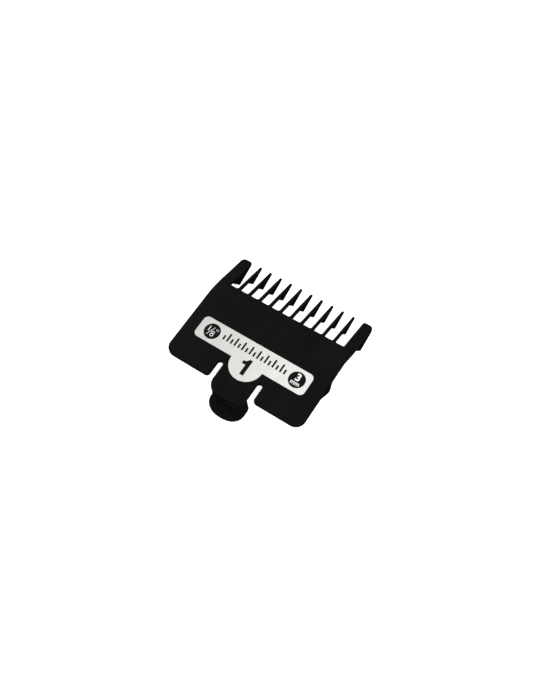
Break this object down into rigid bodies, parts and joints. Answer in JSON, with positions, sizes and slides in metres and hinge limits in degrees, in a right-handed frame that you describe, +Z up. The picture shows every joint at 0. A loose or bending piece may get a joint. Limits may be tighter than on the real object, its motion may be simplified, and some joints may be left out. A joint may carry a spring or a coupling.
{
  "type": "clipper guard comb",
  "caption": "Clip-on guard comb for a hair clipper: flat plate with a size label, sloping front with stepped teeth between two side ears, side lugs and a sprung rear latch.",
  "frame": {"origin": "centre of the box around the comb, on the plane it rests on with the label up", "axes": "+X across the teeth to the right as the label reads, +Y towards the tooth tips, +Z up out of the label face"},
  "size_m": [0.0484, 0.0488, 0.0088],
  "materials": {
    "comb_plastic": "satin black moulded plastic",
    "label_foil": "pearl white foil label with a fine grain",
    "label_ink": "printed black ink"
  },
  "bodies": {
    "comb": {"center_plate": "comb_plastic", "side_rail_left": "comb_plastic", "side_rail_right": "comb_plastic", "wing_left": "comb_plastic", "wing_right": "comb_plastic", "front_apron": "comb_plastic", "tooth_01": "comb_plastic", "tooth_02": "comb_plastic", "tooth_03": "comb_plastic", "tooth_04": "comb_plastic", "tooth_05": "comb_plastic", "tooth_06": "comb_plastic", "tooth_07": "comb_plastic", "tooth_08": "comb_plastic", "tooth_09": "comb_plastic", "tooth_10": "comb_plastic", "ear_left": "comb_plastic", "ear_right": "comb_plastic", "side_lug_left": "comb_plastic", "side_lug_right": "comb_plastic", "latch_root": "comb_plastic", "size_label": "label_foil", "badge_inch": "label_ink", "badge_metric": "label_ink", "size_numeral": "label_ink", "length_scale": "label_ink"},
    "latch": {"latch_tongue": "comb_plastic", "hook_wall": "comb_plastic", "hook_rib": "comb_plastic", "blade_catch": "comb_plastic", "thumb_tab": "comb_plastic"}
  },
  "joints": [
    {"name": "latch_flex", "type": "hinge", "parent": "comb", "child": "latch", "pos_m": [0, -0.01507, 0.00802], "axis": [-1, 0, 0], "range_deg": [-2, 12], "stiffness_Nm_per_rad": 0.5}
  ]
}
